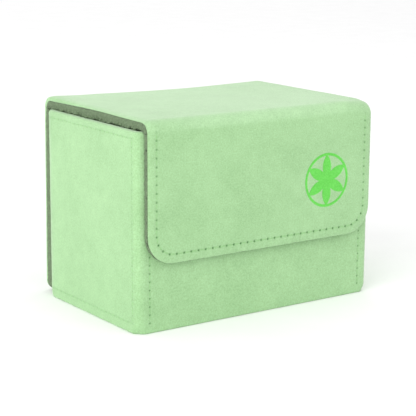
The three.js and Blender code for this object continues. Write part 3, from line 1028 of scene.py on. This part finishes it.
def skin_rows():
    """Heights of the close rows at the foot and rim, and of every row up the skin's two side edges."""
    low, high = profile.t[0], profile.t[-1]
    foot, rim = profile.t[2], profile.t[3]
    at_foot = np.linspace(low, foot + ROW_OVERLAP, FOOT_ROWS)
    at_rim = np.linspace(rim - ROW_OVERLAP, high, RIM_ROWS)
    between = np.arange(foot + ROW_OVERLAP + 1, rim - ROW_OVERLAP - 0.8, SKIN_SPACING)
    return np.concatenate([at_foot, at_rim]), np.concatenate([at_foot, between, at_rim])


def skin_loop(columns, up):
    """The skin's flat outline, which meets itself at the middle of the rear."""
    right = np.stack([np.full(len(up) - 2, ROUND), up[1:-1]], axis=1)
    left = np.stack([np.zeros(len(up) - 2), up[1:-1][::-1]], axis=1)
    return np.concatenate([row(columns, up[0]), right, row(columns[::-1], up[-1]), left])


def tray_relief(strengths, seam):
    """The height of the tray's face: needle holes, the seams' grooves and soft unevenness."""
    foot, rim = profile.t[2], profile.t[3]

    def relief(points):
        height = -0.35 * dots(points, strengths, 0.24)
        height -= 0.08 * np.exp(-(nearest(points, seam) / 0.5) ** 2)
        place = profile.place(points, level(points))
        quiet = soft_step(points[:, 1], foot, foot + 3) * (1 - soft_step(points[:, 1], rim - 3, rim))
        return height + quiet * (0.06 * ripple(place, 14) + 0.02 * ripple(place, 3.5))

    return relief


def tray_leather(front, loops):
    """The leather round the tray's walls, in one piece from under the foot to inside the rim."""
    sides = [run for loop in loops for run in loop]
    runs = [*front, *sides]
    strengths = [(run, FRONT_SEAM_PULL) for run in front] + [(run, SIDE_SEAM_PULL) for run in sides]
    seams = [resample(run[[0, -1]], SEAM_POINTS) for run in runs]
    rows = [across(seam, offset) for seam in seams for offset in SEAM_ROWS]
    seam = np.concatenate(seams)

    columns = np.linspace(0, ROUND, round(ROUND / SKIN_SPACING) + 1)
    fine, up = skin_rows()
    loop = skin_loop(columns, up)
    foot, rim = profile.t[2], profile.t[3]
    edge_rows = np.concatenate([row(columns[1:-1], t) for t in fine if up[0] < t < up[-1]])
    wall = lattice(0.8, ROUND - 0.6, foot + 1.4, rim - 1.2, SKIN_SPACING)
    back = lattice(1.2, ROUND - 1, foot + 2, rim - 2, SKIN_BACK_SPACING)
    outer = np.concatenate([edge_rows, with_seam(wall, rows, np.concatenate(runs))])
    inner = np.concatenate([edge_rows, back])

    outer_flat, inner_flat = np.concatenate([loop, outer]), np.concatenate([loop, inner])
    thick = np.interp(inner_flat[:, 1], profile.t, SKIN_THICKNESS)
    relief = tray_relief(strengths, seam)
    places = np.concatenate([
        profile.place(outer_flat, relief(outer_flat)),
        profile.place(inner_flat, -thick),
    ])
    shift = len(outer_flat)
    width = len(columns)
    top_start = width + len(up) - 2
    faces = triangulate(loop, outer)
    faces += [tuple(v + shift for v in face[::-1]) for face in triangulate(loop, inner)]
    faces += bridge(0, shift, width, closed=False)
    faces += bridge(top_start, top_start + shift, width, closed=False)
    dark = np.zeros(len(places))
    # Painted shade in the tray's needle holes and along its seams' grooves
    dark[:shift] = dots(outer_flat, strengths + [(seam, 0.13)], 0.34)
    return add_mesh("tray_leather", places, faces, leather_finish, {"hole": dark}, sharp=70)


def rounded_ring(inset, spacing):
    """Points round the tray's outline at an inset."""
    p = np.linspace(0, ROUND, round(ROUND / spacing), endpoint=False)
    return np.stack(around(p, inset), axis=1)


def floor_points(spacing, inset):
    """Points inside the tray's outline, no nearer to its sides than an inset."""
    points = lattice(-BODY_HALF_X, BODY_HALF_X, -BODY_HALF_Y, BODY_HALF_Y, spacing)
    beside = BODY_HALF_X - np.abs(points[:, 0])
    before = BODY_HALF_Y - np.abs(points[:, 1] - BODY_MID_Y)
    return points[np.minimum(beside, before) > inset]


BASE_INSET = 3.15


def base_leather():
    """The panel glued under the tray, over the skin's turned-in edges."""
    rings = [(rounded_ring(BASE_INSET + inset, 2), share) for inset, share in LEATHER_EDGE]
    points = floor_points(3, BASE_INSET + 2)

    def place(flat, height):
        return np.stack([flat[:, 0], flat[:, 1], -height], axis=1)

    places, faces, _ = sheet(place, rings, points, level, points, lambda at: level(at) - LEATHER)
    return add_mesh("base_leather", places, faces, leather_finish, sharp=70)


TUB_FILLET = 1.2
TUB_SPACING = 1.7
OUTER_ROWS = 12
INNER_ROWS = 44
FILLET_ROWS = 5


def tub_rows():
    """The tub's section as (inset, z): up its outside, over its lip, down its inside and in to the floor."""
    thick = TUB_FLOOR - TUB_BASE
    outside = np.linspace(TUB_BASE, RIM_Z - 0.3, OUTER_ROWS)
    lip = [(TUB_INSET + inward, RIM_Z - down) for inward, down in ((0.12, 0.08), (0.3, 0.05), (thick, 0.3))]
    inside = np.linspace(RIM_Z - 1.2, TUB_FLOOR + TUB_FILLET, INNER_ROWS)
    rows = [(TUB_INSET, z) for z in outside] + lip + [(TUB_INSET + thick, z) for z in inside]
    for k in range(1, FILLET_ROWS + 1):
        angle = k / FILLET_ROWS * math.pi / 2
        inward = TUB_INSET + thick + TUB_FILLET * (1 - math.cos(angle))
        rows.append((inward, TUB_FLOOR + TUB_FILLET * (1 - math.sin(angle))))
    return rows


def tub_lining():
    """The felt that lines the tray's walls and floor, in one piece with soft corners."""
    rows = tub_rows()
    count = len(rounded_ring(0, TUB_SPACING))
    rings = [(rounded_ring(inset, TUB_SPACING), np.full((count, 1), z)) for inset, z in rows]
    places = np.concatenate([np.concatenate(ring, axis=1) for ring in rings])
    faces = []
    for index in range(len(rows) - 1):
        faces += bridge(index * count, (index + 1) * count, count)

    flat = floor_points(2.2, TUB_INSET + TUB_FLOOR - TUB_BASE + TUB_FILLET + 1.2)
    floor = np.concatenate([flat, np.full((len(flat), 1), TUB_FLOOR)], axis=1)
    base = np.concatenate([flat, np.full((len(flat), 1), TUB_BASE)], axis=1)
    last = (len(rows) - 1) * count
    floor_ids = len(places) + np.arange(len(flat))
    top_ids = np.concatenate([np.arange(last, last + count), floor_ids])
    low_ids = np.concatenate([np.arange(count), floor_ids + len(flat)])
    faces += [tuple(top_ids[list(f)]) for f in triangulate(places[last:last + count, :2], flat)]
    faces += [tuple(low_ids[list(f)][::-1]) for f in triangulate(places[:count, :2], flat)]

    inner = places[:, 2] < RIM_Z - 1
    inner[:(OUTER_ROWS + 1) * count] = False
    soft = 0.05 * ripple(places, 2.1) + 0.05 * ripple(places, 9)
    inward = np.sign(np.array([0, BODY_MID_Y]) - places[:, :2])
    places[inner, :2] += (inward * soft[:, None] * 0.7)[inner]
    floor[:, 2] += 0.06 * ripple(floor, 2.5) + 0.05 * ripple(floor, 9)
    return add_mesh("tub_lining", np.concatenate([places, floor, base]), faces, lining_finish)


# --------------------------------------------------------------------
# Building the pieces: the frame's parts they replace are hidden, and the tray's pieces hang on the box's body
# --------------------------------------------------------------------


def bend_rear(piece):
    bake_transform(piece)


def bend_front(piece):
    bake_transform(piece)


def board_boxes(*nodes):
    return [(*edges(node), 1 if node == "lid_board" else 2) for node in nodes]


def dress(piece, slot, *nodes):
    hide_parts(*nodes)
    return piece


add_camera()
add_studio()

leather_finish = suede("cover_suede", linear(172, 212, 160), linear(146, 187, 134))
lining_finish = felt("dark_felt")
thread_finish = thread()

cover = cover_leather("cover_leather", leaf)
dress(cover, "leather", "back_leaf_skin", "rear_fold_skin", "lid_skin")
bend_rear(cover)

flap_skin = cover_leather("flap_leather", flap, pressed=True)
dress(flap_skin, "leather", "flap_skin", "front_fold_skin")
bend_front(flap_skin)

cover_boards = board_boxes("back_leaf_board", "lid_board")
cover_lining = cover_felt("cover_lining", leaf, cover_boards, LEAF_LINING, LEAF_FRAY)
dress(cover_lining, "lining", "back_leaf_lining", "rear_fold_lining", "lid_lining")
bend_rear(cover_lining)

flap_lining = cover_felt("flap_lining_felt", flap, board_boxes("flap_board"), FLAP_FELT, FLAP_FRAY)
dress(flap_lining, "lining", "flap_lining", "front_fold_lining")
bend_front(flap_lining)

front_runs, side_loops = tray_seams()
tray = tray_leather(front_runs, side_loops)
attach(dress(tray, "leather", "body_skin"), "box")
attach(dress(base_leather(), "leather", "base_skin"), "box")
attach(dress(tub_lining(), "lining", "wall_lining", "floor_lining"), "box")

cover_threads = stitches("cover_stitches", sunk(leaf.place), [leaf.seam()])
dress(cover_threads, "thread", "back_leaf_stitching", "lid_stitching_left", "lid_stitching_right")
bend_rear(cover_threads)

flap_threads = stitches("flap_stitches", sunk(flap.place), [flap.seam()])
dress(flap_threads, "thread", "flap_stitching")
bend_front(flap_threads)

tray_threads = [
    ("front_stitches", front_runs, "front_stitching"),
    ("left_side_stitches", side_loops[0], "left_side_stitching"),
    ("right_side_stitches", side_loops[1], "right_side_stitching"),
]
for name, runs, node in tray_threads:
    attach(dress(stitches(name, sunk(profile.place), runs), "thread", node), "box")

board_finish = greyboard()
magnet_finish = nickel()
for name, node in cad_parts.items():
    if node.hide_render:
        continue
    slot = "greyboard" if name.endswith("board") else "magnet"
    node.data.materials.clear()
    node.data.materials.append(board_finish if slot == "greyboard" else magnet_finish)
